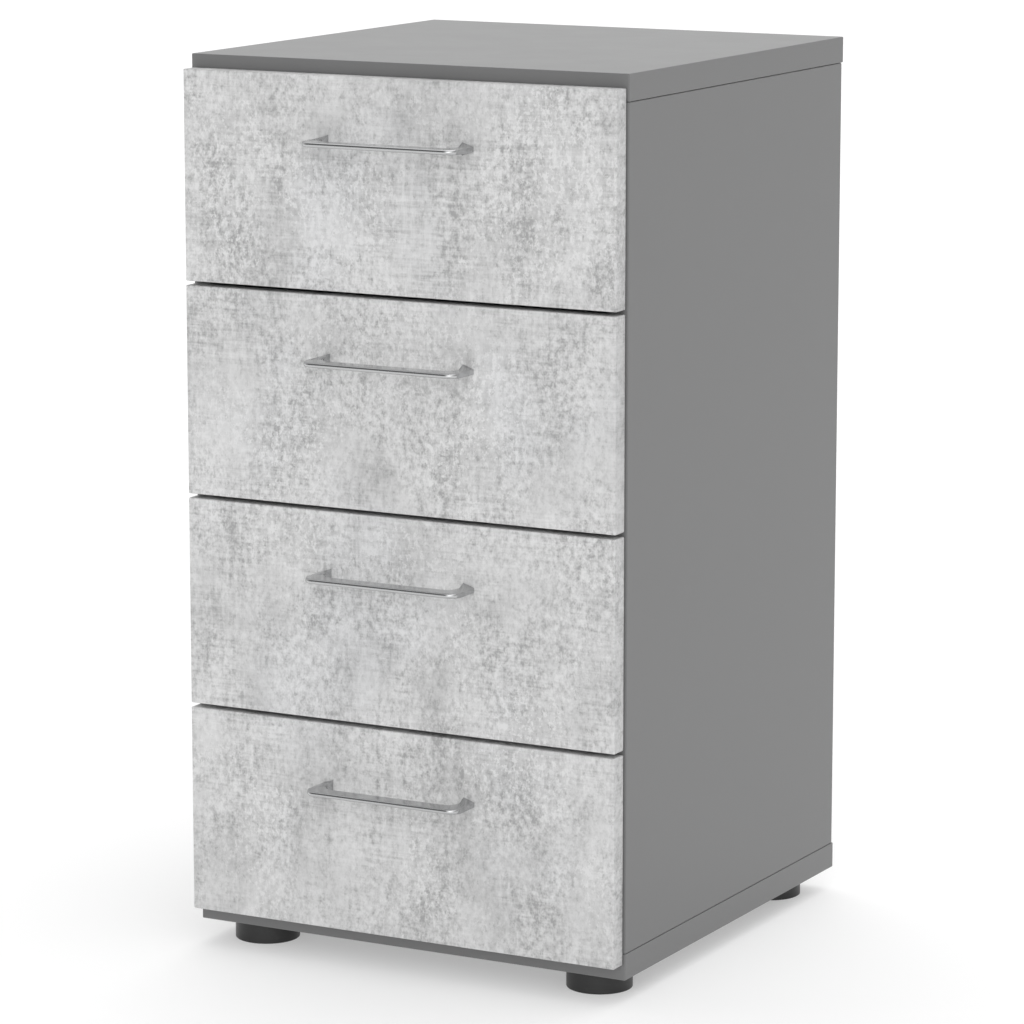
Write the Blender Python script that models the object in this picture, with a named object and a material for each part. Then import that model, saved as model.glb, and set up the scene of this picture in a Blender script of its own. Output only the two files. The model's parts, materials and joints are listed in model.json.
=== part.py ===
"""A free-standing four-drawer chest of melamine-faced board.

A graphite carcass of five boards stands on four round glide feet. It holds four equal drawers with
concrete-decor overlay fronts, bow handles, folded three-sided boxes and hardboard bottoms. Each
drawer runs on two roller runners: a C-shaped cabinet rail with a roller at its front end, and a
drawer rail with a roller at its rear end.

Units are metres. X runs along the width, -Y is the front and Z is up. The origin is on the floor,
under the middle of the chest's bounding box with its handles.
"""

import math

import bmesh
import bpy

# ---------------------------------------------------------------- fits
MESH_GAP = 0.0003  # left between pieces that touch
EDGE_CLEARANCE = 0.0005  # a panel's edge to the bottom of its groove

# ---------------------------------------------------------------- carcass
CARCASS_WIDTH = 0.400
CARCASS_DEPTH = 0.405  # the top and bottom panels, front edge to rear edge
CARCASS_HEIGHT = 0.7295
PANEL_THICKNESS = 0.022  # top and bottom panels
SIDE_THICKNESS = 0.016
BACK_THICKNESS = 0.0025
BACK_INSET = 0.002  # the back panel's edges to the outer faces of the sides
BOARD_EDGE_RADIUS = 0.0006

# ---------------------------------------------------------------- feet
FOOT_DIAMETER = 0.0545
FOOT_HEIGHT = 0.019
FOOT_INSET_SIDE = 0.042  # a foot's axis to the carcass's side
FOOT_INSET_FRONT = 0.037
FOOT_INSET_REAR = 0.042
FOOT_EDGE_RADIUS = 0.001
FOOT_SEGMENTS = 32

# ---------------------------------------------------------------- drawer fronts
DRAWER_COUNT = 4
FRONT_THICKNESS = 0.016
FRONT_STANDOFF = 0.0005  # a closed front to the carcass's front edges
FRONT_GAP = 0.0035  # between two fronts
FRONT_SIDE_REVEAL = 0.002
FRONT_TOP_REVEAL = 0.0113
FRONT_BOTTOM_REVEAL = 0.0129
FRONT_EDGE_RADIUS = 0.001

# ---------------------------------------------------------------- drawer boxes
BOX_BOARD = 0.012
BOX_FLOOR_CLEARANCE = 0.005  # the lowest box to the carcass's bottom panel
BOX_TOP_DROP = 0.030  # a box's upper edge below its front's upper edge
BOX_REAR_CLEARANCE = 0.052  # a closed box to the back panel
BOTTOM_THICKNESS = 0.003
BOTTOM_RAISE = 0.010  # a bottom above its box's lower edge
GROOVE_DEPTH = 0.005

# ---------------------------------------------------------------- roller runners
RUNNER_WIDTH = 0.0125  # a box's side to the carcass's side
RUNNER_SHEET = 0.0012
RUNNER_SETBACK = 0.002  # a cabinet rail's front end behind the carcass's front edge
RUNNER_PLAY = 0.001  # between parts that pass each other
RAIL_SEAT = 0.012  # the drawer rail's flange under the box
ROLLER_DIAMETER = 0.018
ROLLER_RAISE = 0.0105  # a cabinet roller's axis above the box's lower edge
ROLLER_END_DISTANCE = 0.012  # a roller's axis to its rail's end
ROLLER_SEGMENTS = 20
PIN_DIAMETER = 0.004
PIN_BORE_CLEARANCE = 0.0003
PIN_HEAD_DIAMETER = 0.007
PIN_HEAD_THICKNESS = 0.0008
PIN_HEAD_CLEARANCE = 0.00065  # a pin's head to the facing rail's web
PIN_SEGMENTS = 10

# ---------------------------------------------------------------- handles
HANDLE_HOLE_SPACING = 0.128
HANDLE_DROP = 0.0525  # a handle's middle below its front's upper edge
HANDLE_PROJECTION = 0.032
HANDLE_BAR_DEPTH = 0.0155
HANDLE_BAR_HEIGHT = 0.0041
HANDLE_LEG_INSIDE = 0.0027  # a screw's axis to the leg's inner face
HANDLE_LEG_OUTSIDE = 0.0072
HANDLE_LEG_HEIGHT = 0.0106  # the leg's inner edge where it meets the front
HANDLE_OUTER_RADIUS = 0.0095
HANDLE_INNER_RADIUS = 0.01
HANDLE_BAR_ROUNDING = 0.5  # 1 makes the bar's section an ellipse, and 0 a rectangle
HANDLE_BEND_STEPS = 4
HANDLE_SECTION_POINTS = 16

# ---------------------------------------------------------------- derived sizes
FRONT_STACK = CARCASS_HEIGHT - FRONT_TOP_REVEAL - FRONT_BOTTOM_REVEAL
FRONT_HEIGHT = (FRONT_STACK - (DRAWER_COUNT - 1) * FRONT_GAP) / DRAWER_COUNT
FRONT_WIDTH = CARCASS_WIDTH - 2 * FRONT_SIDE_REVEAL
INNER_HALF_WIDTH = CARCASS_WIDTH / 2 - SIDE_THICKNESS
SIDE_DEPTH = CARCASS_DEPTH - BACK_THICKNESS - MESH_GAP

OVERALL_DEPTH = CARCASS_DEPTH + FRONT_STANDOFF + FRONT_THICKNESS + MESH_GAP + HANDLE_PROJECTION
REAR_Y = OVERALL_DEPTH / 2
CARCASS_FRONT_Y = REAR_Y - CARCASS_DEPTH
FRONT_BACK_Y = CARCASS_FRONT_Y - FRONT_STANDOFF
FRONT_FACE_Y = FRONT_BACK_Y - FRONT_THICKNESS
CARCASS_BOTTOM_Z = FOOT_HEIGHT
CARCASS_TOP_Z = CARCASS_BOTTOM_Z + CARCASS_HEIGHT

BOX_RAISE = PANEL_THICKNESS - FRONT_BOTTOM_REVEAL + BOX_FLOOR_CLEARANCE
BOX_HEIGHT = FRONT_HEIGHT - BOX_RAISE - BOX_TOP_DROP
BOX_WIDTH = 2 * (INNER_HALF_WIDTH - RUNNER_WIDTH)
BOX_LENGTH = SIDE_DEPTH - BOX_REAR_CLEARANCE
BOX_FRONT_Y = FRONT_BACK_Y + MESH_GAP
CABINET_RAIL_Y = CARCASS_FRONT_Y + RUNNER_SETBACK

ROLLER_RADIUS = ROLLER_DIAMETER / 2
PIN_RADIUS = PIN_DIAMETER / 2
DRAWER_WEB_OUTER = MESH_GAP + RUNNER_SHEET
CABINET_WEB_INNER = RUNNER_WIDTH - MESH_GAP - RUNNER_SHEET
ROLLER_MIDDLE = (DRAWER_WEB_OUTER + CABINET_WEB_INNER) / 2
ROLLER_HALF_WIDTH = ROLLER_MIDDLE - DRAWER_WEB_OUTER - MESH_GAP - PIN_HEAD_THICKNESS - PIN_HEAD_CLEARANCE
FLANGE_UNDERSIDE = ROLLER_RADIUS + MESH_GAP  # above the cabinet roller's axis
REAR_ROLLER_DROP = RUNNER_PLAY - MESH_GAP  # the drawer roller's axis below the cabinet roller's
TRACK_TOP = -REAR_ROLLER_DROP - ROLLER_RADIUS - MESH_GAP

MATERIALS = {
    "graphite_board": ((0.155, 0.155, 0.158), 0.55, 0.0),
    "concrete_board": ((0.52, 0.52, 0.525), 0.60, 0.0),
    "box_board": ((0.62, 0.62, 0.61), 0.55, 0.0),
    "hardboard": ((0.60, 0.60, 0.59), 0.50, 0.0),
    "chrome": ((0.80, 0.80, 0.81), 0.08, 1.0),
    "black_plastic": ((0.018, 0.018, 0.019), 0.45, 0.0),
    "rail_steel": ((0.66, 0.67, 0.68), 0.40, 0.7),
    "roller_nylon": ((0.78, 0.77, 0.73), 0.45, 0.0),
}


# ---------------------------------------------------------------- scene helpers
def clear_scene():
    for obj in list(bpy.data.objects):
        bpy.data.objects.remove(obj, do_unlink=True)


def make_materials():
    for name, (colour, roughness, metallic) in MATERIALS.items():
        material = bpy.data.materials.new(name)
        material.use_nodes = True
        shader = material.node_tree.nodes["Principled BSDF"]
        shader.inputs["Base Color"].default_value = (*colour, 1.0)
        shader.inputs["Roughness"].default_value = roughness
        shader.inputs["Metallic"].default_value = metallic


def add_object(name, mesh, material, location, parent=None):
    """Links one piece at a world location, under a parent empty that isn't rotated or scaled."""
    obj = bpy.data.objects.new(name, mesh)
    bpy.context.scene.collection.objects.link(obj)
    obj.location = location
    if parent is not None:
        obj.location = [at - origin for at, origin in zip(location, parent.location)]
        obj.parent = parent
    if material:
        if not mesh.materials:
            mesh.materials.append(bpy.data.materials[material])
    else:
        obj.hide_render = True
        obj.display_type = "WIRE"
    return obj


def add_empty(name, location):
    empty = bpy.data.objects.new(name, None)
    bpy.context.scene.collection.objects.link(empty)
    empty.location = location
    return empty


def add_bevel(obj, width, segments):
    bevel = obj.modifiers.new("edge_rounding", "BEVEL")
    bevel.width = width
    bevel.segments = segments
    bevel.limit_method = "ANGLE"


def add_boolean(obj, other, operation):
    boolean = obj.modifiers.new(other.name, "BOOLEAN")
    boolean.operation = operation
    boolean.solver = "EXACT"
    boolean.object = other


# ---------------------------------------------------------------- mesh helpers
def finish_mesh(bm, name, smooth_angle=None):
    bmesh.ops.recalc_face_normals(bm, faces=bm.faces)
    mesh = bpy.data.meshes.new(name)
    bm.to_mesh(mesh)
    bm.free()
    if smooth_angle is not None:
        mesh.shade_smooth()
        mesh.set_sharp_from_angle(angle=smooth_angle)
    return mesh


def box_mesh(name, size):
    """A box of that size, centred on its origin."""
    bm = bmesh.new()
    bmesh.ops.create_cube(bm, size=1.0)
    bmesh.ops.scale(bm, vec=size, verts=bm.verts)
    return finish_mesh(bm, name)


def board(name, low, high, material, parent=None):
    """A board between two opposite corners."""
    size = [b - a for a, b in zip(low, high)]
    middle = [(a + b) / 2 for a, b in zip(low, high)]
    return add_object(name, box_mesh(name, size), material, middle, parent)


def extruded_mesh(name, outline, direction):
    """A closed outline of 3-D points, extruded along a direction."""
    bm = bmesh.new()
    face = bm.faces.new([bm.verts.new(point) for point in outline])
    made = bmesh.ops.extrude_face_region(bm, geom=[face])
    moved = [item for item in made["geom"] if isinstance(item, bmesh.types.BMVert)]
    bmesh.ops.translate(bm, vec=direction, verts=moved)
    return finish_mesh(bm, name)


def turned_mesh(name, profile, segments, axis, ring=False):
    """(radius, along) points turned about X or Z. A ring's profile is a closed loop off the axis."""
    bm = bmesh.new()
    circles = []
    for step in range(segments):
        angle = 2 * math.pi * step / segments
        circle = []
        for radius, along in profile:
            across, up = radius * math.cos(angle), radius * math.sin(angle)
            point = (along, across, up) if axis == "X" else (across, up, along)
            circle.append(bm.verts.new(point))
        circles.append(circle)
    spans = len(profile) if ring else len(profile) - 1
    for circle, following in zip(circles, circles[1:] + circles[:1]):
        for first in range(spans):
            second = (first + 1) % len(profile)
            bm.faces.new((circle[first], circle[second], following[second], following[first]))
    if not ring:
        bm.faces.new([circle[0] for circle in circles])
        bm.faces.new([circle[-1] for circle in circles])
    return finish_mesh(bm, name, math.radians(30))


# ---------------------------------------------------------------- carcass
def make_carcass():
    half = CARCASS_WIDTH / 2
    bottom_top = CARCASS_BOTTOM_Z + PANEL_THICKNESS
    top_bottom = CARCASS_TOP_Z - PANEL_THICKNESS
    front, rear = CARCASS_FRONT_Y, REAR_Y
    side_rear = front + SIDE_DEPTH
    panels = {
        "top_panel": ((-half, front, top_bottom), (half, rear, CARCASS_TOP_Z)),
        "bottom_panel": ((-half, front, CARCASS_BOTTOM_Z), (half, rear, bottom_top)),
    }
    low_z, high_z = bottom_top + MESH_GAP, top_bottom - MESH_GAP
    panels["side_panel_left"] = ((-half, front, low_z), (-INNER_HALF_WIDTH, side_rear, high_z))
    panels["side_panel_right"] = ((INNER_HALF_WIDTH, front, low_z), (half, side_rear, high_z))
    for name, (low, high) in panels.items():
        add_bevel(board(name, low, high, "graphite_board"), BOARD_EDGE_RADIUS, 1)
    back_half = half - BACK_INSET
    board(
        "back_panel",
        (-back_half, side_rear + MESH_GAP, low_z),
        (back_half, rear, high_z),
        "graphite_board",
    )


def make_feet():
    radius = FOOT_DIAMETER / 2
    top = FOOT_HEIGHT - MESH_GAP
    profile = [
        (radius - FOOT_EDGE_RADIUS, 0.0),
        (radius, FOOT_EDGE_RADIUS),
        (radius, top),
    ]
    mesh = turned_mesh("foot", profile, FOOT_SEGMENTS, "Z")
    x = CARCASS_WIDTH / 2 - FOOT_INSET_SIDE
    rows = (("front", CARCASS_FRONT_Y + FOOT_INSET_FRONT), ("rear", REAR_Y - FOOT_INSET_REAR))
    for row, y in rows:
        for side, sign in (("left", -1), ("right", 1)):
            add_object(f"foot_{row}_{side}", mesh, "black_plastic", (sign * x, y, 0.0))


# ---------------------------------------------------------------- handles
def handle_section(outer, inner, leg_height, squareness):
    """Points of one cross-section between an outer and an inner (x, y) point.

    squareness 0 is the bar's rounded strap and 1 is the leg's flat-sided wedge.
    """
    points = []
    half_bar, half_leg = HANDLE_BAR_HEIGHT / 2, leg_height / 2
    for step in range(HANDLE_SECTION_POINTS):
        angle = math.pi / 4 + 2 * math.pi * step / HANDLE_SECTION_POINTS
        across, up = math.cos(angle), math.sin(angle)
        flat_across = max(-1.0, min(1.0, math.sqrt(2) * across))
        flat_up = max(-1.0, min(1.0, math.sqrt(2) * up))
        round_across = math.copysign(abs(across) ** HANDLE_BAR_ROUNDING, across)
        round_up = math.copysign(abs(up) ** HANDLE_BAR_ROUNDING, up)
        share = (1 - flat_across) / 2
        wedge_up = flat_up * (half_bar + (half_leg - half_bar) * share)
        along = round_across + (flat_across - round_across) * squareness
        height = round_up * half_bar + (wedge_up - round_up * half_bar) * squareness
        x = (outer[0] + inner[0]) / 2 + (outer[0] - inner[0]) / 2 * along
        y = (outer[1] + inner[1]) / 2 + (outer[1] - inner[1]) / 2 * along
        points.append((x, y, height))
    return points


def handle_mesh():
    """A bow handle whose feet lie on the plane y = 0, with its bar towards -Y."""
    outer_x = HANDLE_HOLE_SPACING / 2 + HANDLE_LEG_OUTSIDE
    inner_x = HANDLE_HOLE_SPACING / 2 - HANDLE_LEG_INSIDE
    outer_turn_y = HANDLE_PROJECTION - HANDLE_OUTER_RADIUS
    inner_turn_y = HANDLE_PROJECTION - HANDLE_BAR_DEPTH - HANDLE_INNER_RADIUS
    sections = [handle_section((outer_x, 0.0), (inner_x, 0.0), HANDLE_LEG_HEIGHT, 1.0)]
    for step in range(HANDLE_BEND_STEPS + 1):
        turn = step / HANDLE_BEND_STEPS
        angle = turn * math.pi / 2
        outer = (
            outer_x - HANDLE_OUTER_RADIUS * (1 - math.cos(angle)),
            -outer_turn_y - HANDLE_OUTER_RADIUS * math.sin(angle),
        )
        inner = (
            inner_x - HANDLE_INNER_RADIUS * (1 - math.cos(angle)),
            -inner_turn_y - HANDLE_INNER_RADIUS * math.sin(angle),
        )
        sections.append(handle_section(outer, inner, HANDLE_BAR_HEIGHT, 1.0 - turn))
    sections += [[(-x, y, z) for x, y, z in section] for section in reversed(sections)]
    bm = bmesh.new()
    rings = [[bm.verts.new(point) for point in section] for section in sections]
    for ring, following in zip(rings, rings[1:]):
        for first in range(HANDLE_SECTION_POINTS):
            second = (first + 1) % HANDLE_SECTION_POINTS
            bm.faces.new((ring[first], ring[second], following[second], following[first]))
    bm.faces.new(rings[0])
    bm.faces.new(rings[-1])
    return finish_mesh(bm, "handle", math.radians(40))


# ---------------------------------------------------------------- runners
def drawer_rail_outline(sign):
    """The drawer rail's section: a seat under the box, a web beside it and a flange over the rollers.

    x is measured outwards from the box's side, and z from the box's lower edge.
    """
    seat_top = -MESH_GAP
    seat_bottom = seat_top - RUNNER_SHEET
    flange_bottom = ROLLER_RAISE + FLANGE_UNDERSIDE
    flange_top = flange_bottom + RUNNER_SHEET
    flange_edge = CABINET_WEB_INNER - RUNNER_PLAY
    points = [
        (-RAIL_SEAT, seat_bottom),
        (DRAWER_WEB_OUTER, seat_bottom),
        (DRAWER_WEB_OUTER, flange_bottom),
        (flange_edge, flange_bottom),
        (flange_edge, flange_top),
        (MESH_GAP, flange_top),
        (MESH_GAP, seat_top),
        (-RAIL_SEAT, seat_top),
    ]
    return [(sign * x, 0.0, z) for x, z in points]


def cabinet_rail_outline(sign):
    """The cabinet rail's C section: a track, a web against the side and a lip over the drawer rail."""
    track_top = ROLLER_RAISE + TRACK_TOP
    track_bottom = track_top - RUNNER_SHEET
    lip_bottom = ROLLER_RAISE + FLANGE_UNDERSIDE + RUNNER_SHEET + RUNNER_PLAY
    lip_top = lip_bottom + RUNNER_SHEET
    inner_edge = DRAWER_WEB_OUTER + RUNNER_PLAY
    web_outer = CABINET_WEB_INNER + RUNNER_SHEET
    points = [
        (inner_edge, track_bottom),
        (web_outer, track_bottom),
        (web_outer, lip_top),
        (inner_edge, lip_top),
        (inner_edge, lip_bottom),
        (CABINET_WEB_INNER, lip_bottom),
        (CABINET_WEB_INNER, track_top),
        (inner_edge, track_top),
    ]
    return [(sign * x, 0.0, z) for x, z in points]


def pin_mesh(direction):
    """A riveted axle along +X or -X, from inside its rail's web to a head past the roller."""
    shoulder = ROLLER_HALF_WIDTH + MESH_GAP
    web_middle = ROLLER_MIDDLE - DRAWER_WEB_OUTER + RUNNER_SHEET / 2
    profile = [
        (PIN_RADIUS, -web_middle * direction),
        (PIN_RADIUS, shoulder * direction),
        (PIN_HEAD_DIAMETER / 2, shoulder * direction),
        (PIN_HEAD_DIAMETER / 2, (shoulder + PIN_HEAD_THICKNESS) * direction),
    ]
    return turned_mesh("roller_pin", profile, PIN_SEGMENTS, "X")


def roller_mesh():
    half = ROLLER_HALF_WIDTH
    bore = PIN_RADIUS + PIN_BORE_CLEARANCE
    profile = [(bore, -half), (ROLLER_RADIUS, -half), (ROLLER_RADIUS, half), (bore, half)]
    return turned_mesh("roller", profile, ROLLER_SEGMENTS, "X", ring=True)


def add_rail(name, outline, start, pin_at, pin_direction, parent=None):
    """A rail along +Y from its start, with its roller's pin joined on."""
    mesh = extruded_mesh(name, outline, (0.0, BOX_LENGTH, 0.0))
    rail = add_object(name, mesh, "rail_steel", start, parent)
    pin = add_object(f"{name}_pin", pin_mesh(pin_direction), None, pin_at, parent)
    add_boolean(rail, pin, "UNION")


def add_runner(number, side, sign, box_bottom, drawer):
    """Both rails and both rollers of one side of one drawer."""
    box_side = sign * BOX_WIDTH / 2
    roller_x = box_side + sign * ROLLER_MIDDLE
    roller = roller_mesh()

    front_axis = (roller_x, CABINET_RAIL_Y + ROLLER_END_DISTANCE, box_bottom + ROLLER_RAISE)
    rail_start = (box_side, CABINET_RAIL_Y, box_bottom)
    outline = cabinet_rail_outline(sign)
    add_rail(f"cabinet_rail_{number}_{side}", outline, rail_start, front_axis, -sign)
    add_object(f"cabinet_roller_{number}_{side}", roller, "roller_nylon", front_axis)

    rear_y = BOX_FRONT_Y + BOX_LENGTH - ROLLER_END_DISTANCE
    rear_axis = (roller_x, rear_y, box_bottom + ROLLER_RAISE - REAR_ROLLER_DROP)
    rail_start = (box_side, BOX_FRONT_Y, box_bottom)
    outline = drawer_rail_outline(sign)
    add_rail(f"drawer_{number}_rail_{side}", outline, rail_start, rear_axis, sign, drawer)
    add_object(f"drawer_{number}_roller_{side}", roller, "roller_nylon", rear_axis, drawer)


# ---------------------------------------------------------------- drawers
def box_outline():
    """The folded box seen from above: two sides and a back, open towards the front."""
    half = BOX_WIDTH / 2
    inner = half - BOX_BOARD
    inner_rear = BOX_LENGTH - BOX_BOARD
    points = [
        (-half, 0.0),
        (-inner, 0.0),
        (-inner, inner_rear),
        (inner, inner_rear),
        (inner, 0.0),
        (half, 0.0),
        (half, BOX_LENGTH),
        (-half, BOX_LENGTH),
    ]
    return [(x, y, 0.0) for x, y in points]


def make_drawer(number, front_bottom, handle):
    prefix = f"drawer_{number}"
    drawer = add_empty(f"{prefix}_slide", (0.0, FRONT_BACK_Y, front_bottom))
    half_front = FRONT_WIDTH / 2
    front = board(
        f"{prefix}_front",
        (-half_front, FRONT_FACE_Y, front_bottom),
        (half_front, FRONT_BACK_Y, front_bottom + FRONT_HEIGHT),
        "concrete_board",
        drawer,
    )
    add_bevel(front, FRONT_EDGE_RADIUS, 2)

    box_bottom = front_bottom + BOX_RAISE
    mesh = extruded_mesh(f"{prefix}_box", box_outline(), (0.0, 0.0, BOX_HEIGHT))
    box = add_object(f"{prefix}_box", mesh, "box_board", (0.0, BOX_FRONT_Y, box_bottom), drawer)

    groove_half = BOX_WIDTH / 2 - BOX_BOARD + GROOVE_DEPTH
    groove_front = FRONT_BACK_Y - GROOVE_DEPTH
    groove_rear = BOX_FRONT_Y + BOX_LENGTH - BOX_BOARD + GROOVE_DEPTH
    bottom_low = box_bottom + BOTTOM_RAISE
    bottom_high = bottom_low + BOTTOM_THICKNESS
    groove = board(
        f"{prefix}_groove_cutter",
        (-groove_half, groove_front, bottom_low - MESH_GAP),
        (groove_half, groove_rear, bottom_high + MESH_GAP),
        None,
        drawer,
    )
    add_boolean(box, groove, "DIFFERENCE")
    add_boolean(front, groove, "DIFFERENCE")
    bottom_half = groove_half - EDGE_CLEARANCE
    board(
        f"{prefix}_bottom",
        (-bottom_half, groove_front + EDGE_CLEARANCE, bottom_low),
        (bottom_half, groove_rear - EDGE_CLEARANCE, bottom_high),
        "hardboard",
        drawer,
    )

    handle_at = (0.0, FRONT_FACE_Y - MESH_GAP, front_bottom + FRONT_HEIGHT - HANDLE_DROP)
    add_object(f"{prefix}_handle", handle, "chrome", handle_at, drawer)
    for side, sign in (("left", -1), ("right", 1)):
        add_runner(number, side, sign, box_bottom, drawer)


def make_drawers():
    handle = handle_mesh()
    top = CARCASS_TOP_Z - FRONT_TOP_REVEAL
    for index in range(DRAWER_COUNT):
        front_bottom = top - FRONT_HEIGHT - index * (FRONT_HEIGHT + FRONT_GAP)
        make_drawer(index + 1, front_bottom, handle)


clear_scene()
make_materials()
make_carcass()
make_feet()
make_drawers()
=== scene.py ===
"""The looks of a four-drawer chest of melamine-faced board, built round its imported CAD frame.

The carcass is graphite, the drawer fronts have a concrete decor, and the handles are chrome. Every
CAD node except the drawer bottoms is replaced by a finer mesh of the same size, and the screws'
heads and the bumpers behind the fronts are added. Each piece is built in place, so its object
coordinates are the frame's, in metres: X runs along the width, -Y is the front and Z is up.
"""

import json
import math

import bmesh
import bpy
from mathutils import Matrix, Vector

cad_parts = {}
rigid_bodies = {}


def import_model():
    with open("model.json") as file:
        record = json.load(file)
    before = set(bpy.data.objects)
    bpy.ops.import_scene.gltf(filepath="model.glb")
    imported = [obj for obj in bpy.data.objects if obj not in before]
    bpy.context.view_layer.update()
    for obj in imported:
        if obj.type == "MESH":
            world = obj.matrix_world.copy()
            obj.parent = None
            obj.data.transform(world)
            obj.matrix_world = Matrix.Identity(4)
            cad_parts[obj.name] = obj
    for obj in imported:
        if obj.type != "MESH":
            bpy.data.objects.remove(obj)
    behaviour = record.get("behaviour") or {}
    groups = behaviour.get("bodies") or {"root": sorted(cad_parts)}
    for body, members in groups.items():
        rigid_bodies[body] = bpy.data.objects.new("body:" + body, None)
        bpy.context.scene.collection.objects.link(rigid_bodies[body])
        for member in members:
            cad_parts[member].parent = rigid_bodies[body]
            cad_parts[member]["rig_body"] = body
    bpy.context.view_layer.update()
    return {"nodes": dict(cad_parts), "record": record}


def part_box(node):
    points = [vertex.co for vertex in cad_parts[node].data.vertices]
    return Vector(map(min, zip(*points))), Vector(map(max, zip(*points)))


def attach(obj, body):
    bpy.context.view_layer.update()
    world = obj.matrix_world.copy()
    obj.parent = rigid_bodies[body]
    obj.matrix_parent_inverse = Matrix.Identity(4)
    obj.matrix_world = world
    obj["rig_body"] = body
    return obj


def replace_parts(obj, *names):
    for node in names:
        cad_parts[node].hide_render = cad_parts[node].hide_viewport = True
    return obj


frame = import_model()

# ---------------------------------------------------------------- driving sizes, in metres
BOARD_RADIUS = 0.0009
FRONT_RADIUS = 0.001
EDGE_SEGMENTS = 4
SHADED_EDGE_FROM = 0.97  # a front's faces that lean further from its plane than this get a darker copy of the decor, as painted shade on its edge bands and rounded edges
BACK_RADIUS = 0.0003
BOX_RADIUS = 0.0007
SHEET_RADIUS = 0.00035  # the rounding of a rail's edges and bends
FITTED_GAP = 0.0003  # left between pieces that touch

HANDLE_SCREW_SPACING = 0.128
HANDLE_LEG_WIDTH = 0.0099
HANDLE_BAR_DEPTH = 0.0155
HANDLE_BAR_HEIGHT = 0.0041
HANDLE_OUTER_RADIUS = 0.0095
HANDLE_INNER_RADIUS = 0.01
HANDLE_SECTION_POINTS = 64
HANDLE_BEND_STEPS = 20

HANDLE_SCREW_RADIUS = 0.004
HANDLE_SCREW_HEIGHT = 0.0022
BACK_SCREW_RADIUS = 0.0028
BACK_SCREW_HEIGHT = 0.0005
BACK_SCREW_INSET = 0.008
BACK_SCREWS_UP = 7  # along each side edge, corners included
BACK_SCREWS_BETWEEN = 3  # along the top and bottom edges, between the corners
HEAD_SEGMENTS = 24
DOME_SHOULDER = (0.55, 0.97)  # a point of a domed head, as shares of its radius and height
DOME_TOP = 0.15  # the flat top's share of the radius
CROSS_ARM = 1.15  # a cross recess's length and width, as shares of the head's radius
CROSS_WIDTH = 0.26
CROSS_DEPTH = 1.1  # the cutter's height, as a share of the head's, half of it below the top

BUMPER_RADIUS = 0.004
BUMPER_HEIGHT = 0.0004
BUMPER_SIDE_INSET = 0.006  # a bumper's middle from its front's side edge
BUMPER_END_INSET = 0.012  # and from its top or bottom edge
FOOT_EDGE_RADIUS = 0.001
FOOT_SOLE_INSET = 0.006  # a ring on the sole, in from the rim
FOOT_SEGMENTS = 96

ROLLER_BORE = 0.0023
ROLLER_HUB = 0.0042
ROLLER_EDGE_RADIUS = 0.0007
ROLLER_RECESS = 0.0006  # how deep a face is sunk between the hub and the tread
ROLLER_SLOPE = 0.0003  # how far the recess's walls lean
ROLLER_TREAD = 0.0018
ROLLER_SEGMENTS = 64
RAIL_SHEET = 0.0012
RAIL_SCREW_RADIUS = 0.0036
RAIL_SCREW_HEIGHT = 0.0003
RAIL_SCREW_PLACES = (0.12, 0.36, 0.86)  # shares of a rail's length
RAIL_HOLE_RADIUS = 0.002
RAIL_HOLE_PLACES = (0.2, 0.28, 0.5, 0.64, 0.78)  # shares of a rail's length
RAIL_HOLE_SEGMENTS = 20
SEAT_HOLE_INSET = 0.006  # a hole's middle from the free edge of a drawer rail's seat
DRILL_ROOM = 0.001  # how far a drill starts and ends outside the sheet
CURVED_SMOOTH_ANGLE = 40  # degrees, for the pieces with holes or turned faces

CAMERA_LENS = 161.43  # millimetres, on a sensor 36 mm wide
CAMERA_AIM = (0.0009, 0.0005, 0.3561)
CAMERA_DISTANCE = 3.8798
CAMERA_AZIMUTH = math.radians(28.223)
CAMERA_ELEVATION = math.radians(10.525)

LIGHT_EVERYWHERE = 1.0
LIGHT_FROM = (  # (direction, how narrow, how much more or less than everywhere)
    ((-0.45, -0.68, 0.58), 2.5, -0.95),  # a dark wall at the front left
    ((0.3, -0.88, 0.38), 8.0, 2.1),  # a softbox in front
    ((0.0, 0.35, 0.94), 5.0, 1.35),  # a softbox overhead
    ((0.9, 0.3, 0.3), 2.0, -0.5),  # a dimmer side at the right
)
WHITE = (1.0, 1.0, 1.0, 1.0)
FLOOR_REACH = 40.0  # from the middle to each edge

SLOTS = {row["node"]: row["material_slot"] for row in frame["record"]["subparts"]}
SIDES = (("left", -1), ("right", 1))
DRAWERS = (1, 2, 3, 4)


# ---------------------------------------------------------------- materials
class Nodes:
    """Short calls that add nodes to a tree."""

    def __init__(self, tree):
        self.tree = tree

    def node(self, kind, **settings):
        made = self.tree.nodes.new(f"ShaderNode{kind}")
        for key, value in settings.items():
            setattr(made, key, value)
        return made

    def feed(self, socket, source):
        """Links a socket to another, or sets it to a value."""
        if isinstance(source, bpy.types.NodeSocket):
            self.tree.links.new(source, socket)
        else:
            socket.default_value = source

    def maths(self, operation, *sources):
        made = self.node("Math", operation=operation)
        for socket, source in zip(made.inputs, sources):
            self.feed(socket, source)
        return made.outputs[0]


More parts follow.
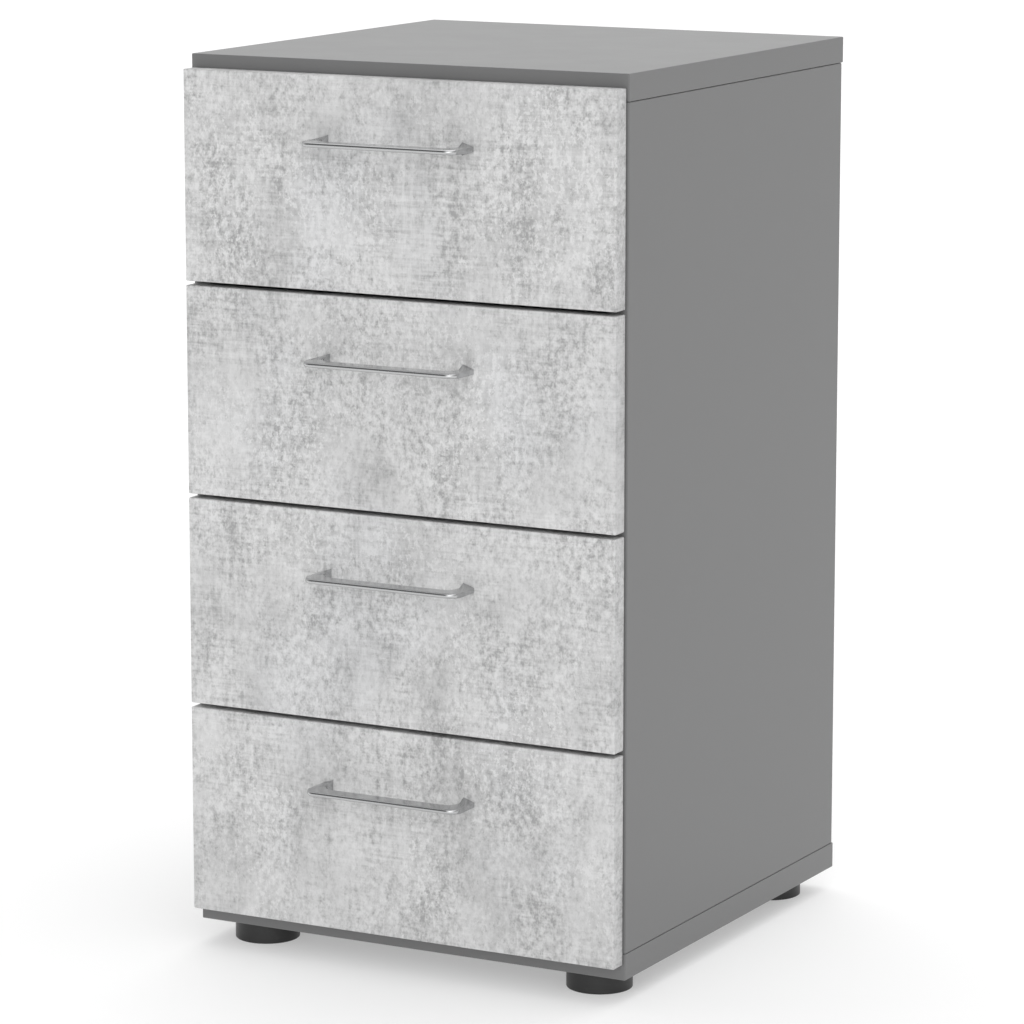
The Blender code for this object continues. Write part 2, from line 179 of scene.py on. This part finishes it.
class Graph(Nodes):
    """A new material, with short calls for the nodes that drive its Principled shader.

    Patterns read the piece's object coordinates, so a scale is in repeats a metre.
    """

    def __init__(self, name, colour, roughness, **shader):
        self.material = bpy.data.materials.new(name)
        self.material.use_nodes = True
        super().__init__(self.material.node_tree)
        self.shader = self.tree.nodes["Principled BSDF"]
        self.set_input("Base Color", (*colour, 1.0))
        self.set_input("Roughness", roughness)
        for socket, value in shader.items():
            self.set_input(socket.replace("_", " "), value)
        self.place = self.node("TexCoord").outputs["Object"]

    def set_input(self, name, source):
        self.feed(self.shader.inputs[name], source)

    def stretched(self, scale, shift=(0.0, 0.0, 0.0)):
        """The object coordinates, scaled by axis and then shifted."""
        made = self.node("VectorMath", operation="MULTIPLY_ADD")
        self.feed(made.inputs[0], self.place)
        self.feed(made.inputs[1], scale)
        self.feed(made.inputs[2], shift)
        return made.outputs[0]

    def noise(self, scale, detail=2.0, roughness=0.5, distortion=0.0, shift=(0.0, 0.0, 0.0)):
        """Noise from 0 to 1. The scale is one number, or one for each axis."""
        if isinstance(scale, (int, float)):
            scale = (scale, scale, scale)
        made = self.node("TexNoise")
        self.feed(made.inputs["Vector"], self.stretched(scale, shift))
        self.feed(made.inputs["Scale"], 1.0)
        self.feed(made.inputs["Detail"], detail)
        self.feed(made.inputs["Roughness"], roughness)
        self.feed(made.inputs["Distortion"], distortion)
        return made.outputs["Fac"]

    def total(self, base, *terms):
        """The base plus each (socket, weight) product."""
        for socket, weight in terms:
            base = self.maths("MULTIPLY_ADD", socket, weight, base)
        return base

    def span(self, source, low, high, to_low=0.0, to_high=1.0):
        """Maps low..high to to_low..to_high, with smooth ends."""
        made = self.node("MapRange", interpolation_type="SMOOTHSTEP")
        for name, value in (
            ("Value", source),
            ("From Min", low),
            ("From Max", high),
            ("To Min", to_low),
            ("To Max", to_high),
        ):
            self.feed(made.inputs[name], value)
        return made.outputs["Result"]

    def ramp(self, source, *stops):
        """A colour ramp of (position, colour) stops."""
        made = self.node("ValToRGB")
        elements = made.color_ramp.elements
        while len(elements) < len(stops):
            elements.new(1.0)
        for element, (position, colour) in zip(elements, stops):
            element.position = position
            element.color = (*colour, 1.0)
        self.feed(made.inputs["Fac"], source)
        return made.outputs["Color"]

    def tint(self, share, colour, filter_colour):
        """The colour, seen through a filter where the share is 1."""
        made = self.node("Mix", data_type="RGBA", blend_type="MULTIPLY")
        self.feed(made.inputs[0], share)
        self.feed(made.inputs[6], colour)
        self.feed(made.inputs[7], (*filter_colour, 1.0))
        return made.outputs[2]

    def bump(self, height, distance, strength=1.0):
        """Relief of that height in metres."""
        made = self.node("Bump")
        self.feed(made.inputs["Height"], height)
        self.feed(made.inputs["Distance"], distance)
        self.feed(made.inputs["Strength"], strength)
        self.set_input("Normal", made.outputs["Normal"])


def grey(value, warmth=0.0):
    """A near-neutral colour. Positive warmth is yellower and negative is bluer."""
    return (value * (1 + warmth), value, value * (1 - warmth))


def concrete_material(name, tone):
    """Melamine with a printed, trowelled concrete decor, which runs on from front to front."""
    g = Graph(name, grey(0.5 * tone), 0.55)
    clouds = g.noise(6.5, 2.0, 0.5, 0.2, shift=(2.3, 0.0, 5.1))
    mottle = g.noise((23.0, 19.0, 12.0), 5.0, 0.75, 0.1, shift=(7.7, 1.0, 0.4))
    grain = g.noise((190.0, 150.0, 150.0), 2.0, 0.9, shift=(3.1, 2.0, 8.3))
    upright = g.noise((330.0, 60.0, 34.0), 3.0, 0.7, shift=(1.0, 4.0, 9.0))
    level = g.noise((26.0, 60.0, 420.0), 3.0, 0.65, shift=(5.0, 2.0, 3.0))
    brushed = g.span(g.noise(17.0, 3.0, 0.6, shift=(3.0, 7.0, 2.0)), 0.36, 0.62, 0.2, 1.0)
    streaks = g.maths("MULTIPLY", g.total(-0.7, (upright, 0.65), (level, 0.75)), brushed)
    worn = g.span(g.noise((12.0, 12.0, 10.0), 4.0, 0.6, shift=(9.0, 3.0, 6.0)), 0.4, 0.62)
    fine = g.noise((300.0, 300.0, 230.0), 3.0, 0.7)
    flecks = g.maths("MULTIPLY", g.span(fine, 0.53, 0.6), worn)
    patches = g.noise((16.0, 16.0, 12.0), 3.0, 0.6, shift=(2.0, 6.0, 4.0))
    speckle = g.maths(
        "MULTIPLY",
        g.total(-0.5, (grain, 1.0)),
        g.span(patches, 0.36, 0.64, 0.45, 1.3),
    )
    pits = g.span(g.noise((280.0, 280.0, 210.0), 3.0, 0.7, shift=(6.0, 1.0, 2.0)), 0.43, 0.37)
    value = g.total(
        -0.36,
        (clouds, 0.25),
        (mottle, 1.35),
        (speckle, 1.55),
        (streaks, 1.2),
        (flecks, 0.4),
        (pits, -0.18),
    )
    colour = g.ramp(
        value,
        (0.0, grey(0.33 * tone)),
        (0.3, grey(0.477 * tone)),
        (0.55, grey(0.572 * tone)),
        (0.9, grey(0.66 * tone)),
    )
    bluish = g.span(g.noise(8.0, 2.0, 0.5, shift=(4.0, 8.0, 1.0)), 0.52, 0.75)
    g.set_input("Base Color", g.tint(bluish, colour, (0.988, 0.992, 1.0)))
    g.set_input("Roughness", g.total(0.44, (level, 0.14), (mottle, 0.1)))
    g.bump(g.total(0.0, (streaks, 1.0), (mottle, 0.6)), 0.00005)
    return g.material


def graphite_material():
    """Plain graphite melamine with a fine pearl structure."""
    g = Graph("graphite_board", grey(0.15), 0.5)
    pearl = g.noise(1500.0, 2.0, 0.5)
    cloud = g.noise(22.0, 5.0, 0.6)
    g.set_input(
        "Base Color",
        g.ramp(
            g.total(-0.1, (cloud, 0.8), (pearl, 0.4)),
            (0.2, grey(0.145, -0.004)),
            (0.8, grey(0.158, -0.004)),
        ),
    )
    g.set_input("Roughness", g.total(0.33, (cloud, 0.08), (pearl, 0.06)))
    g.bump(pearl, 0.00002)
    return g.material


def box_material():
    """The light grey foil that wraps a drawer's box."""
    g = Graph("box_board", grey(0.54), 0.45)
    grain = g.noise((900.0, 120.0, 900.0), 3.0, 0.6)
    cloud = g.noise(14.0, 4.0, 0.55)
    g.set_input(
        "Base Color",
        g.ramp(
            g.total(0.0, (grain, 0.5), (cloud, 0.5)),
            (0.3, grey(0.51, 0.006)),
            (0.7, grey(0.57, 0.006)),
        ),
    )
    g.set_input("Roughness", g.total(0.4, (cloud, 0.12)))
    g.bump(grain, 0.00003)
    return g.material


def hardboard_material():
    """Paper-laminated hardboard, with faint fibres."""
    g = Graph("hardboard", grey(0.58), 0.5)
    fibres = g.noise((160.0, 700.0, 400.0), 5.0, 0.7, 0.8)
    cloud = g.noise(30.0, 3.0, 0.5)
    g.set_input(
        "Base Color",
        g.ramp(
            g.total(0.0, (fibres, 0.6), (cloud, 0.4)),
            (0.3, grey(0.52, 0.01)),
            (0.7, grey(0.63, 0.008)),
        ),
    )
    g.set_input("Roughness", g.total(0.42, (fibres, 0.2)))
    g.bump(fibres, 0.00004)
    return g.material


def chrome_material():
    """Bright chrome plating with hair-fine polishing marks along the bar."""
    g = Graph("chrome", grey(0.5, -0.008), 0.12, Metallic=1.0)
    marks = g.noise((60.0, 2600.0, 2600.0), 3.0, 0.6)
    haze = g.noise(90.0, 3.0, 0.5)
    g.set_input("Roughness", g.total(0.05, (marks, 0.08), (haze, 0.08)))
    g.bump(marks, 0.000004)
    return g.material


def plastic_material():
    """Black moulded plastic with a fine spark-eroded grain."""
    g = Graph("black_plastic", grey(0.02), 0.4)
    grain = g.noise(1400.0, 2.0, 0.6)
    scuffs = g.span(g.noise((90.0, 90.0, 500.0), 4.0, 0.7), 0.55, 0.8)
    g.set_input("Base Color", g.ramp(scuffs, (0.0, grey(0.016)), (1.0, grey(0.034))))
    g.set_input("Roughness", g.total(0.34, (grain, 0.1), (scuffs, 0.15)))
    g.bump(grain, 0.00006)
    return g.material


def rail_material():
    """White epoxy powder on rolled steel, with a slight orange peel."""
    g = Graph("rail_steel", grey(0.7), 0.35)
    peel = g.noise(620.0, 2.0, 0.5)
    cloud = g.noise(40.0, 3.0, 0.5)
    g.set_input(
        "Base Color",
        g.ramp(cloud, (0.3, grey(0.66, 0.01)), (0.7, grey(0.73, 0.008))),
    )
    g.set_input("Roughness", g.total(0.26, (peel, 0.12), (cloud, 0.08)))
    g.bump(peel, 0.00005)
    return g.material


def nylon_material():
    """Off-white nylon, a little cloudy."""
    g = Graph("roller_nylon", grey(0.72, 0.03), 0.4)
    cloud = g.noise(260.0, 3.0, 0.6)
    g.set_input(
        "Base Color",
        g.ramp(cloud, (0.3, grey(0.68, 0.035)), (0.7, grey(0.76, 0.025))),
    )
    g.set_input("Roughness", g.total(0.32, (cloud, 0.14)))
    g.bump(cloud, 0.00003)
    return g.material


def zinc_material():
    """Bright zinc plating on screws and pins."""
    g = Graph("zinc", grey(0.62, -0.015), 0.3, Metallic=1.0)
    spangle = g.noise(900.0, 3.0, 0.6)
    g.set_input(
        "Base Color",
        g.ramp(spangle, (0.3, grey(0.55, -0.02)), (0.7, grey(0.7, -0.005))),
    )
    g.set_input("Roughness", g.total(0.2, (spangle, 0.2)))
    g.bump(spangle, 0.00001)
    return g.material


def back_material():
    """The back panel's graphite foil on hardboard, with faint fibres."""
    g = Graph("back_foil", grey(0.14), 0.55)
    fibres = g.noise((160.0, 500.0, 420.0), 5.0, 0.7, 0.8)
    cloud = g.noise(16.0, 4.0, 0.55)
    g.set_input(
        "Base Color",
        g.ramp(
            g.total(0.0, (fibres, 0.6), (cloud, 0.4)),
            (0.3, grey(0.122, 0.004)),
            (0.7, grey(0.152, 0.002)),
        ),
    )
    g.set_input("Roughness", g.total(0.48, (fibres, 0.2)))
    g.bump(fibres, 0.00005)
    return g.material


def clear_material():
    """Clear soft plastic, a little milky, for the bumpers behind the fronts."""
    g = Graph("bumper_plastic", grey(0.75), 0.3, Transmission_Weight=0.5)
    haze = g.noise(700.0, 3.0, 0.6)
    g.set_input("Base Color", g.ramp(haze, (0.3, grey(0.7)), (0.7, grey(0.8))))
    g.set_input("Roughness", g.total(0.2, (haze, 0.25)))
    g.bump(haze, 0.00002)
    return g.material


def floor_material():
    """A pale matt studio floor, lit softly from below as a light table is."""
    g = Graph("studio_floor", grey(0.6), 0.9, Emission_Strength=0.35)
    g.set_input("Emission Color", WHITE)
    cloud = g.noise(1.2, 3.0, 0.5)
    g.set_input("Base Color", g.ramp(cloud, (0.3, grey(0.61)), (0.7, grey(0.63))))
    return g.material


MATERIALS = {
    "graphite_board": graphite_material(),
    "concrete_board": concrete_material("concrete_board", 1.0),
    "box_board": box_material(),
    "hardboard": hardboard_material(),
    "chrome": chrome_material(),
    "black_plastic": plastic_material(),
    "rail_steel": rail_material(),
    "roller_nylon": nylon_material(),
}
# a darker copy of the decor, as painted shade on the fronts' edge bands and rounded edges
CONCRETE_SHADED_EDGE = concrete_material("concrete_shaded_edge", 0.92)
ZINC = zinc_material()
BACK_FOIL = back_material()
CLEAR_PLASTIC = clear_material()


# ---------------------------------------------------------------- mesh helpers
def piece(name, bm, body, material, smooth_angle=30):
    """Makes one visible piece from a mesh that is in place, and lets it ride on its body."""
    bmesh.ops.recalc_face_normals(bm, faces=bm.faces)
    mesh = bpy.data.meshes.new(name)
    bm.to_mesh(mesh)
    bm.free()
    mesh.shade_smooth()
    mesh.set_sharp_from_angle(angle=math.radians(smooth_angle))
    obj = bpy.data.objects.new(name, mesh)
    bpy.context.scene.collection.objects.link(obj)
    mesh.materials.append(material)
    weighted = obj.modifiers.new("flat_faces_stay_flat", "WEIGHTED_NORMAL")
    weighted.keep_sharp = True
    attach(obj, body)
    return obj


def stand_in(node, bm, smooth_angle=30):
    """A finer piece that stands for one CAD node, rides on its body and has its slot."""
    body = frame["nodes"][node]["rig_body"]
    slot = SLOTS[node]
    made = piece(f"{node}.fine", bm, body, MATERIALS[slot], smooth_angle)
    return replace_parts(made, node)


def plain_box(low, high):
    """A box between two corners."""
    bm = bmesh.new()
    size = Vector(high) - Vector(low)
    middle = (Vector(high) + Vector(low)) / 2
    place = Matrix.Translation(middle) @ Matrix.Diagonal((*size, 1))
    bmesh.ops.create_cube(bm, size=1.0, matrix=place)
    return bm


def rounded_box(low, high, radius, segments=EDGE_SEGMENTS):
    """A box between two corners, with all its edges rounded."""
    bm = plain_box(low, high)
    bmesh.ops.bevel(
        bm,
        geom=list(bm.edges),
        offset=radius,
        segments=segments,
        profile=0.5,
        affect="EDGES",
    )
    return bm


def cut(bm, cutter):
    """Takes one closed mesh out of another."""
    objects = []
    for source in (bm, cutter):
        bmesh.ops.recalc_face_normals(source, faces=source.faces)
        mesh = bpy.data.meshes.new("cutting")
        source.to_mesh(mesh)
        source.free()
        objects.append(bpy.data.objects.new("cutting", mesh))
        bpy.context.scene.collection.objects.link(objects[-1])
    boolean = objects[0].modifiers.new("cut", "BOOLEAN")
    boolean.operation = "DIFFERENCE"
    boolean.solver = "EXACT"
    boolean.object = objects[1]
    made = bmesh.new()
    made.from_object(objects[0], bpy.context.evaluated_depsgraph_get())
    for obj in objects:
        bpy.data.meshes.remove(obj.data)
    return made


def rounded_copy(node, radius, segments=3):
    """A CAD node's shape in place, with its edges rounded."""
    source = frame["nodes"][node]
    bm = bmesh.new()
    bm.from_mesh(source.data)
    bmesh.ops.transform(bm, matrix=source.matrix_world, verts=bm.verts)
    bmesh.ops.remove_doubles(bm, verts=bm.verts, dist=1e-6)
    bmesh.ops.dissolve_limit(bm, angle_limit=math.radians(1), verts=bm.verts, edges=bm.edges)
    sharp = [edge for edge in bm.edges if edge.calc_face_angle(0) > math.radians(40)]
    bmesh.ops.bevel(
        bm,
        geom=sharp,
        offset=radius,
        segments=segments,
        profile=0.5,
        affect="EDGES",
        clamp_overlap=True,
    )
    return bm


def merged(parts):
    """One mesh of several."""
    mesh = bpy.data.meshes.new("merging")
    whole = bmesh.new()
    for part in parts:
        part.to_mesh(mesh)
        part.free()
        whole.from_mesh(mesh)
    bpy.data.meshes.remove(mesh)
    return whole


def lathe(profile, segments, axis_start, along, across, ring=False):
    """(radius, distance) points turned about a line. A ring's profile is a closed loop."""
    bm = bmesh.new()
    start, along, across = Vector(axis_start), Vector(along), Vector(across)
    third = along.cross(across)
    circles = []
    for step in range(segments):
        angle = 2 * math.pi * step / segments
        out = across * math.cos(angle) + third * math.sin(angle)
        circles.append([bm.verts.new(start + out * r + along * d) for r, d in profile])
    spans = len(profile) if ring else len(profile) - 1
    for circle, following in zip(circles, circles[1:] + circles[:1]):
        for first in range(spans):
            second = (first + 1) % len(profile)
            bm.faces.new((circle[first], circle[second], following[second], following[first]))
    if not ring:
        bm.faces.new([circle[0] for circle in circles])
        bm.faces.new([circle[-1] for circle in circles])
    return bm


def arc(centre, radius, start, end, steps):
    """Points of an arc between two angles in degrees."""
    points = []
    for step in range(steps + 1):
        angle = math.radians(start + (end - start) * step / steps)
        x = centre[0] + radius * math.cos(angle)
        points.append((x, centre[1] + radius * math.sin(angle)))
    return points


# ---------------------------------------------------------------- small fasteners
def domed_head(at, along, radius, height):
    """A low head that stands on a point, with a rounded rim."""
    across = Vector(along).orthogonal().normalized()
    rim = height / 2
    profile = [(radius, 0.0)]
    profile += arc((radius - rim, height - rim), rim, 0, 60, 3)
    profile.append((radius * DOME_SHOULDER[0], height * DOME_SHOULDER[1]))
    profile.append((radius * DOME_TOP, height))
    return lathe(profile, HEAD_SEGMENTS, at, along, across)


def screw_head(at, along, radius, height):
    """A domed head with a cross recess."""
    head = domed_head(at, along, radius, height)
    along = Vector(along)
    across = along.orthogonal().normalized()
    third = along.cross(across)
    turn = Matrix((across, third, along)).transposed().to_4x4()
    place = Matrix.Translation(Vector(at) + along * height) @ turn
    arm, width, depth = radius * CROSS_ARM, radius * CROSS_WIDTH, height * CROSS_DEPTH
    for size in ((arm, width, depth), (width, arm, depth)):
        slot = bmesh.new()
        bmesh.ops.create_cube(slot, size=1.0, matrix=place @ Matrix.Diagonal((*size, 1)))
        head = cut(head, slot)
    return head


# ---------------------------------------------------------------- carcass
def make_boards():
    """The four boards of the carcass."""
    for node in ("top_panel", "bottom_panel", "side_panel_left", "side_panel_right"):
        stand_in(node, rounded_box(*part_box(node), BOARD_RADIUS))


def make_back():
    """The back panel, and the screws round its edge."""
    low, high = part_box("back_panel")
    back = stand_in("back_panel", rounded_box(low, high, BACK_RADIUS, 2))
    back.data.materials[0] = BACK_FOIL
    inset = BACK_SCREW_INSET
    places = []
    for step in range(BACK_SCREWS_UP):
        z = low.z + inset + (high.z - low.z - 2 * inset) * step / (BACK_SCREWS_UP - 1)
        places += [(low.x + inset, z), (high.x - inset, z)]
    for step in range(1, BACK_SCREWS_BETWEEN + 1):
        x = low.x + (high.x - low.x) * step / (BACK_SCREWS_BETWEEN + 1)
        places += [(x, low.z + inset), (x, high.z - inset)]
    heads = [
        screw_head((x, high.y, z), (0, 1, 0), BACK_SCREW_RADIUS, BACK_SCREW_HEIGHT)
        for x, z in places
    ]
    piece("back_screws", merged(heads), "carcass", ZINC)


def make_feet():
    """The four round feet, turned with rounded edges."""
    for node in ("foot_front_left", "foot_front_right", "foot_rear_left", "foot_rear_right"):
        low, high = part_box(node)
        radius = (high.x - low.x) / 2
        height = high.z - low.z
        edge = FOOT_EDGE_RADIUS
        profile = [(radius - FOOT_SOLE_INSET, 0.0)]
        profile += arc((radius - edge, edge), edge, -90, 0, 5)
        profile += arc((radius - edge / 2, height - edge / 2), edge / 2, 0, 90, 4)
        centre = (low + high) / 2
        start = (centre.x, centre.y, low.z)
        stand_in(node, lathe(profile, FOOT_SEGMENTS, start, (0, 0, 1), (1, 0, 0)))


# ---------------------------------------------------------------- drawers
def make_front(number):
    """A drawer's front, with the bottom's groove, and with painted shade on its edge bands and
    rounded edges, which take a darker copy of the decor.
    """
    node = f"drawer_{number}_front"
    groove_low, groove_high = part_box(f"drawer_{number}_bottom")
    room = Vector((FITTED_GAP, FITTED_GAP, FITTED_GAP))
    groove = plain_box(groove_low - room, groove_high + room)
    front = stand_in(node, cut(rounded_box(*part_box(node), FRONT_RADIUS), groove))
    front.data.materials.append(CONCRETE_SHADED_EDGE)
    # the faces off the front's plane get the darker copy, as painted shade
    for face in front.data.polygons:
        face.material_index = int(abs(face.normal.y) < SHADED_EDGE_FROM)


def make_fasteners(number):
    """The handle's screws and the clear bumpers, both on the front's back face."""
    body = f"drawer_{number}"
    low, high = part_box(f"{body}_front")
    handle_low, handle_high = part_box(f"{body}_handle")
    height = (handle_low.z + handle_high.z) / 2
    screws = []
    bumpers = []
    for _, sign in SIDES:
        at = (sign * HANDLE_SCREW_SPACING / 2, high.y, height)
        screws.append(screw_head(at, (0, 1, 0), HANDLE_SCREW_RADIUS, HANDLE_SCREW_HEIGHT))
        for z in (low.z + BUMPER_END_INSET, high.z - BUMPER_END_INSET):
            at = (sign * (high.x - BUMPER_SIDE_INSET), high.y, z)
            bumpers.append(domed_head(at, (0, 1, 0), BUMPER_RADIUS, BUMPER_HEIGHT))
    piece(f"{body}_handle_screws", merged(screws), body, ZINC)
    piece(f"{body}_bumpers", merged(bumpers), body, CLEAR_PLASTIC)


def make_box(number):
    """A drawer's box, with rounded edges."""
    stand_in(f"drawer_{number}_box", rounded_copy(f"drawer_{number}_box", BOX_RADIUS))


def make_runner(number, side, sign):
    """One runner: two rails and their rollers.

    A cabinet rail's holes go through its web, and a drawer rail's through its seat.
    """
    for node in (f"cabinet_rail_{number}_{side}", f"drawer_{number}_rail_{side}"):
        low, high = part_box(node)
        rail = rounded_copy(node, SHEET_RADIUS, 2)
        for share in RAIL_HOLE_PLACES:
            y = low.y + (high.y - low.y) * share
            if node.startswith("cabinet"):
                at, along = (low.x - DRILL_ROOM, y, (low.z + high.z) / 2), (1, 0, 0)
                reach = high.x - low.x + 2 * DRILL_ROOM
            else:
                free_edge = high.x if sign < 0 else low.x
                at = (free_edge + sign * SEAT_HOLE_INSET, y, low.z - DRILL_ROOM)
                along = (0, 0, 1)
                reach = 3 * DRILL_ROOM
            profile = [(RAIL_HOLE_RADIUS, 0.0), (RAIL_HOLE_RADIUS, reach)]
            rail = cut(rail, lathe(profile, RAIL_HOLE_SEGMENTS, at, along, (0, 1, 0)))
        stand_in(node, rail, CURVED_SMOOTH_ANGLE)
    for node in (f"cabinet_roller_{number}_{side}", f"drawer_{number}_roller_{side}"):
        make_roller(node)


def make_roller(node):
    """A nylon roller with a rounded tread and a raised hub on both faces."""
    low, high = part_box(node)
    middle = (low + high) / 2
    radius, half = (high.z - low.z) / 2, (high.x - low.x) / 2
    edge, sunk = ROLLER_EDGE_RADIUS, half - ROLLER_RECESS
    one_face = [(ROLLER_BORE, half), (ROLLER_HUB, half), (ROLLER_HUB + ROLLER_SLOPE, sunk)]
    one_face += [(radius - ROLLER_TREAD - ROLLER_SLOPE, sunk), (radius - ROLLER_TREAD, half)]
    one_face += arc((radius - edge, half - edge), edge, 90, 0, 4)
    profile = one_face + [(r, -d) for r, d in reversed(one_face)]
    roller = lathe(profile, ROLLER_SEGMENTS, middle, (1, 0, 0), (0, 1, 0), ring=True)
    stand_in(node, roller, CURVED_SMOOTH_ANGLE)


def make_rail_screws():
    """Flush screws that hold the cabinet rails to the sides."""
    heads = []
    for number in DRAWERS:
        for side, sign in SIDES:
            low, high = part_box(f"cabinet_rail_{number}_{side}")
            web = (high.x if sign > 0 else low.x) - sign * RAIL_SHEET
            for share in RAIL_SCREW_PLACES:
                at = (web, low.y + (high.y - low.y) * share, (low.z + high.z) / 2)
                heads.append(screw_head(at, (-sign, 0, 0), RAIL_SCREW_RADIUS, RAIL_SCREW_HEIGHT))
    piece("cabinet_rail_screws", merged(heads), "carcass", ZINC)


def handle_section(outer, inner, leg_height, squareness):
    """One cross-section between an outer and an inner (x, y) point.

    At squareness 0 it is the strap's, flat with full-round edges. At 1 it is a leg's, a wedge as
    thick as the bar at its outer side and leg_height at its inner one.
    """
    points = []
    half_bar, half_leg = HANDLE_BAR_HEIGHT / 2, leg_height / 2
    nose = HANDLE_BAR_HEIGHT / HANDLE_BAR_DEPTH
    for step in range(HANDLE_SECTION_POINTS):
        angle = math.pi / 4 + 2 * math.pi * step / HANDLE_SECTION_POINTS
        across, up = math.cos(angle), math.sin(angle)
        flat_across = max(-1.0, min(1.0, math.sqrt(2) * across))
        flat_up = max(-1.0, min(1.0, math.sqrt(2) * up))
        bulge = max(0.0, across**2 - up**2)
        round_across = flat_across * (1 - nose) + math.copysign(bulge, across) * nose
        round_up = 2 * abs(across) * up if bulge > 0 else math.copysign(1.0, up)
        share = (1 - flat_across) / 2
        wedge_up = flat_up * (half_bar + (half_leg - half_bar) * share)
        along = round_across + (flat_across - round_across) * squareness
        height = round_up * half_bar + (wedge_up - round_up * half_bar) * squareness
        x = (outer[0] + inner[0]) / 2 + (outer[0] - inner[0]) / 2 * along
        y = (outer[1] + inner[1]) / 2 + (outer[1] - inner[1]) / 2 * along
        points.append((x, y, height))
    return points


def make_handle(number):
    """A bow handle: a skin over the sections from one leg, along the bar, to the other leg."""
    node = f"drawer_{number}_handle"
    low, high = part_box(node)
    outer_x = high.x
    inner_x = outer_x - HANDLE_LEG_WIDTH
    projection = high.y - low.y
    outer_turn_y = projection - HANDLE_OUTER_RADIUS
    inner_turn_y = projection - HANDLE_BAR_DEPTH - HANDLE_INNER_RADIUS
    leg_height = high.z - low.z
    sections = [handle_section((outer_x, 0.0), (inner_x, 0.0), leg_height, 1.0)]
    for step in range(HANDLE_BEND_STEPS + 1):
        turn = step / HANDLE_BEND_STEPS
        angle = turn * math.pi / 2
        outer = (
            outer_x - HANDLE_OUTER_RADIUS * (1 - math.cos(angle)),
            -outer_turn_y - HANDLE_OUTER_RADIUS * math.sin(angle),
        )
        inner = (
            inner_x - HANDLE_INNER_RADIUS * (1 - math.cos(angle)),
            -inner_turn_y - HANDLE_INNER_RADIUS * math.sin(angle),
        )
        sections.append(handle_section(outer, inner, HANDLE_BAR_HEIGHT, 1.0 - turn))
    sections += [[(-x, y, z) for x, y, z in section] for section in reversed(sections)]
    bm = bmesh.new()
    rings = [[bm.verts.new(point) for point in section] for section in sections]
    for ring, following in zip(rings, rings[1:]):
        for first in range(HANDLE_SECTION_POINTS):
            second = (first + 1) % HANDLE_SECTION_POINTS
            bm.faces.new((ring[first], ring[second], following[second], following[first]))
    bm.faces.new(rings[0])
    bm.faces.new(rings[-1])
    middle = ((low.x + high.x) / 2, high.y, (low.z + high.z) / 2)
    bmesh.ops.translate(bm, vec=middle, verts=bm.verts)
    stand_in(node, bm)


# ---------------------------------------------------------------- stage
def make_floor():
    """The studio floor, wide enough to have no edge in any view."""
    bm = bmesh.new()
    bmesh.ops.create_grid(bm, x_segments=1, y_segments=1, size=FLOOR_REACH)
    mesh = bpy.data.meshes.new("studio_floor")
    bm.to_mesh(mesh)
    bm.free()
    mesh.materials.append(floor_material())
    floor = bpy.data.objects.new("studio_floor", mesh)
    bpy.context.scene.collection.objects.link(floor)


def make_world():
    """Studio light that varies by direction, as LIGHT_FROM says. The camera sees plain white."""
    world = bpy.data.worlds.new("studio")
    world.use_nodes = True
    bpy.context.scene.world = world
    g = Nodes(world.node_tree)
    direction = g.node("TexCoord").outputs["Generated"]
    strength = LIGHT_EVERYWHERE
    for towards, narrowness, amount in LIGHT_FROM:
        along = g.node("VectorMath", operation="DOT_PRODUCT")
        g.feed(along.inputs[0], direction)
        g.feed(along.inputs[1], Vector(towards).normalized())
        facing = g.maths("MAXIMUM", along.outputs["Value"], 0.0)
        lobe = g.maths("POWER", facing, narrowness)
        strength = g.maths("MULTIPLY_ADD", lobe, amount, strength)
    light = g.tree.nodes["Background"]
    g.feed(light.inputs["Color"], WHITE)
    g.feed(light.inputs["Strength"], strength)
    backdrop = g.node("Background")
    g.feed(backdrop.inputs["Color"], WHITE)
    g.feed(backdrop.inputs["Strength"], 1.0)
    mix = g.node("MixShader")
    g.feed(mix.inputs["Fac"], g.node("LightPath").outputs["Is Camera Ray"])
    g.feed(mix.inputs[1], light.outputs[0])
    g.feed(mix.inputs[2], backdrop.outputs[0])
    g.feed(g.tree.nodes["World Output"].inputs["Surface"], mix.outputs[0])


def make_camera():
    """The camera, aimed from the front right and a little above."""
    data = bpy.data.cameras.new("camera")
    data.lens = CAMERA_LENS
    camera = bpy.data.objects.new("camera", data)
    bpy.context.scene.collection.objects.link(camera)
    back = Vector(
        (
            math.sin(CAMERA_AZIMUTH) * math.cos(CAMERA_ELEVATION),
            -math.cos(CAMERA_AZIMUTH) * math.cos(CAMERA_ELEVATION),
            math.sin(CAMERA_ELEVATION),
        )
    )
    camera.location = Vector(CAMERA_AIM) + back * CAMERA_DISTANCE
    camera.rotation_euler = (-back).to_track_quat("-Z", "Y").to_euler()
    bpy.context.scene.camera = camera


# ---------------------------------------------------------------- the scene
for node, slot in SLOTS.items():
    frame["nodes"][node].material_slots[0].material = MATERIALS[slot]

make_boards()
make_back()
make_feet()
for number in DRAWERS:
    make_front(number)
    make_handle(number)
    make_fasteners(number)
    make_box(number)
    for side, sign in SIDES:
        make_runner(number, side, sign)
make_rail_screws()

make_floor()
make_world()
make_camera()
bpy.context.scene.view_settings.view_transform = "Standard"
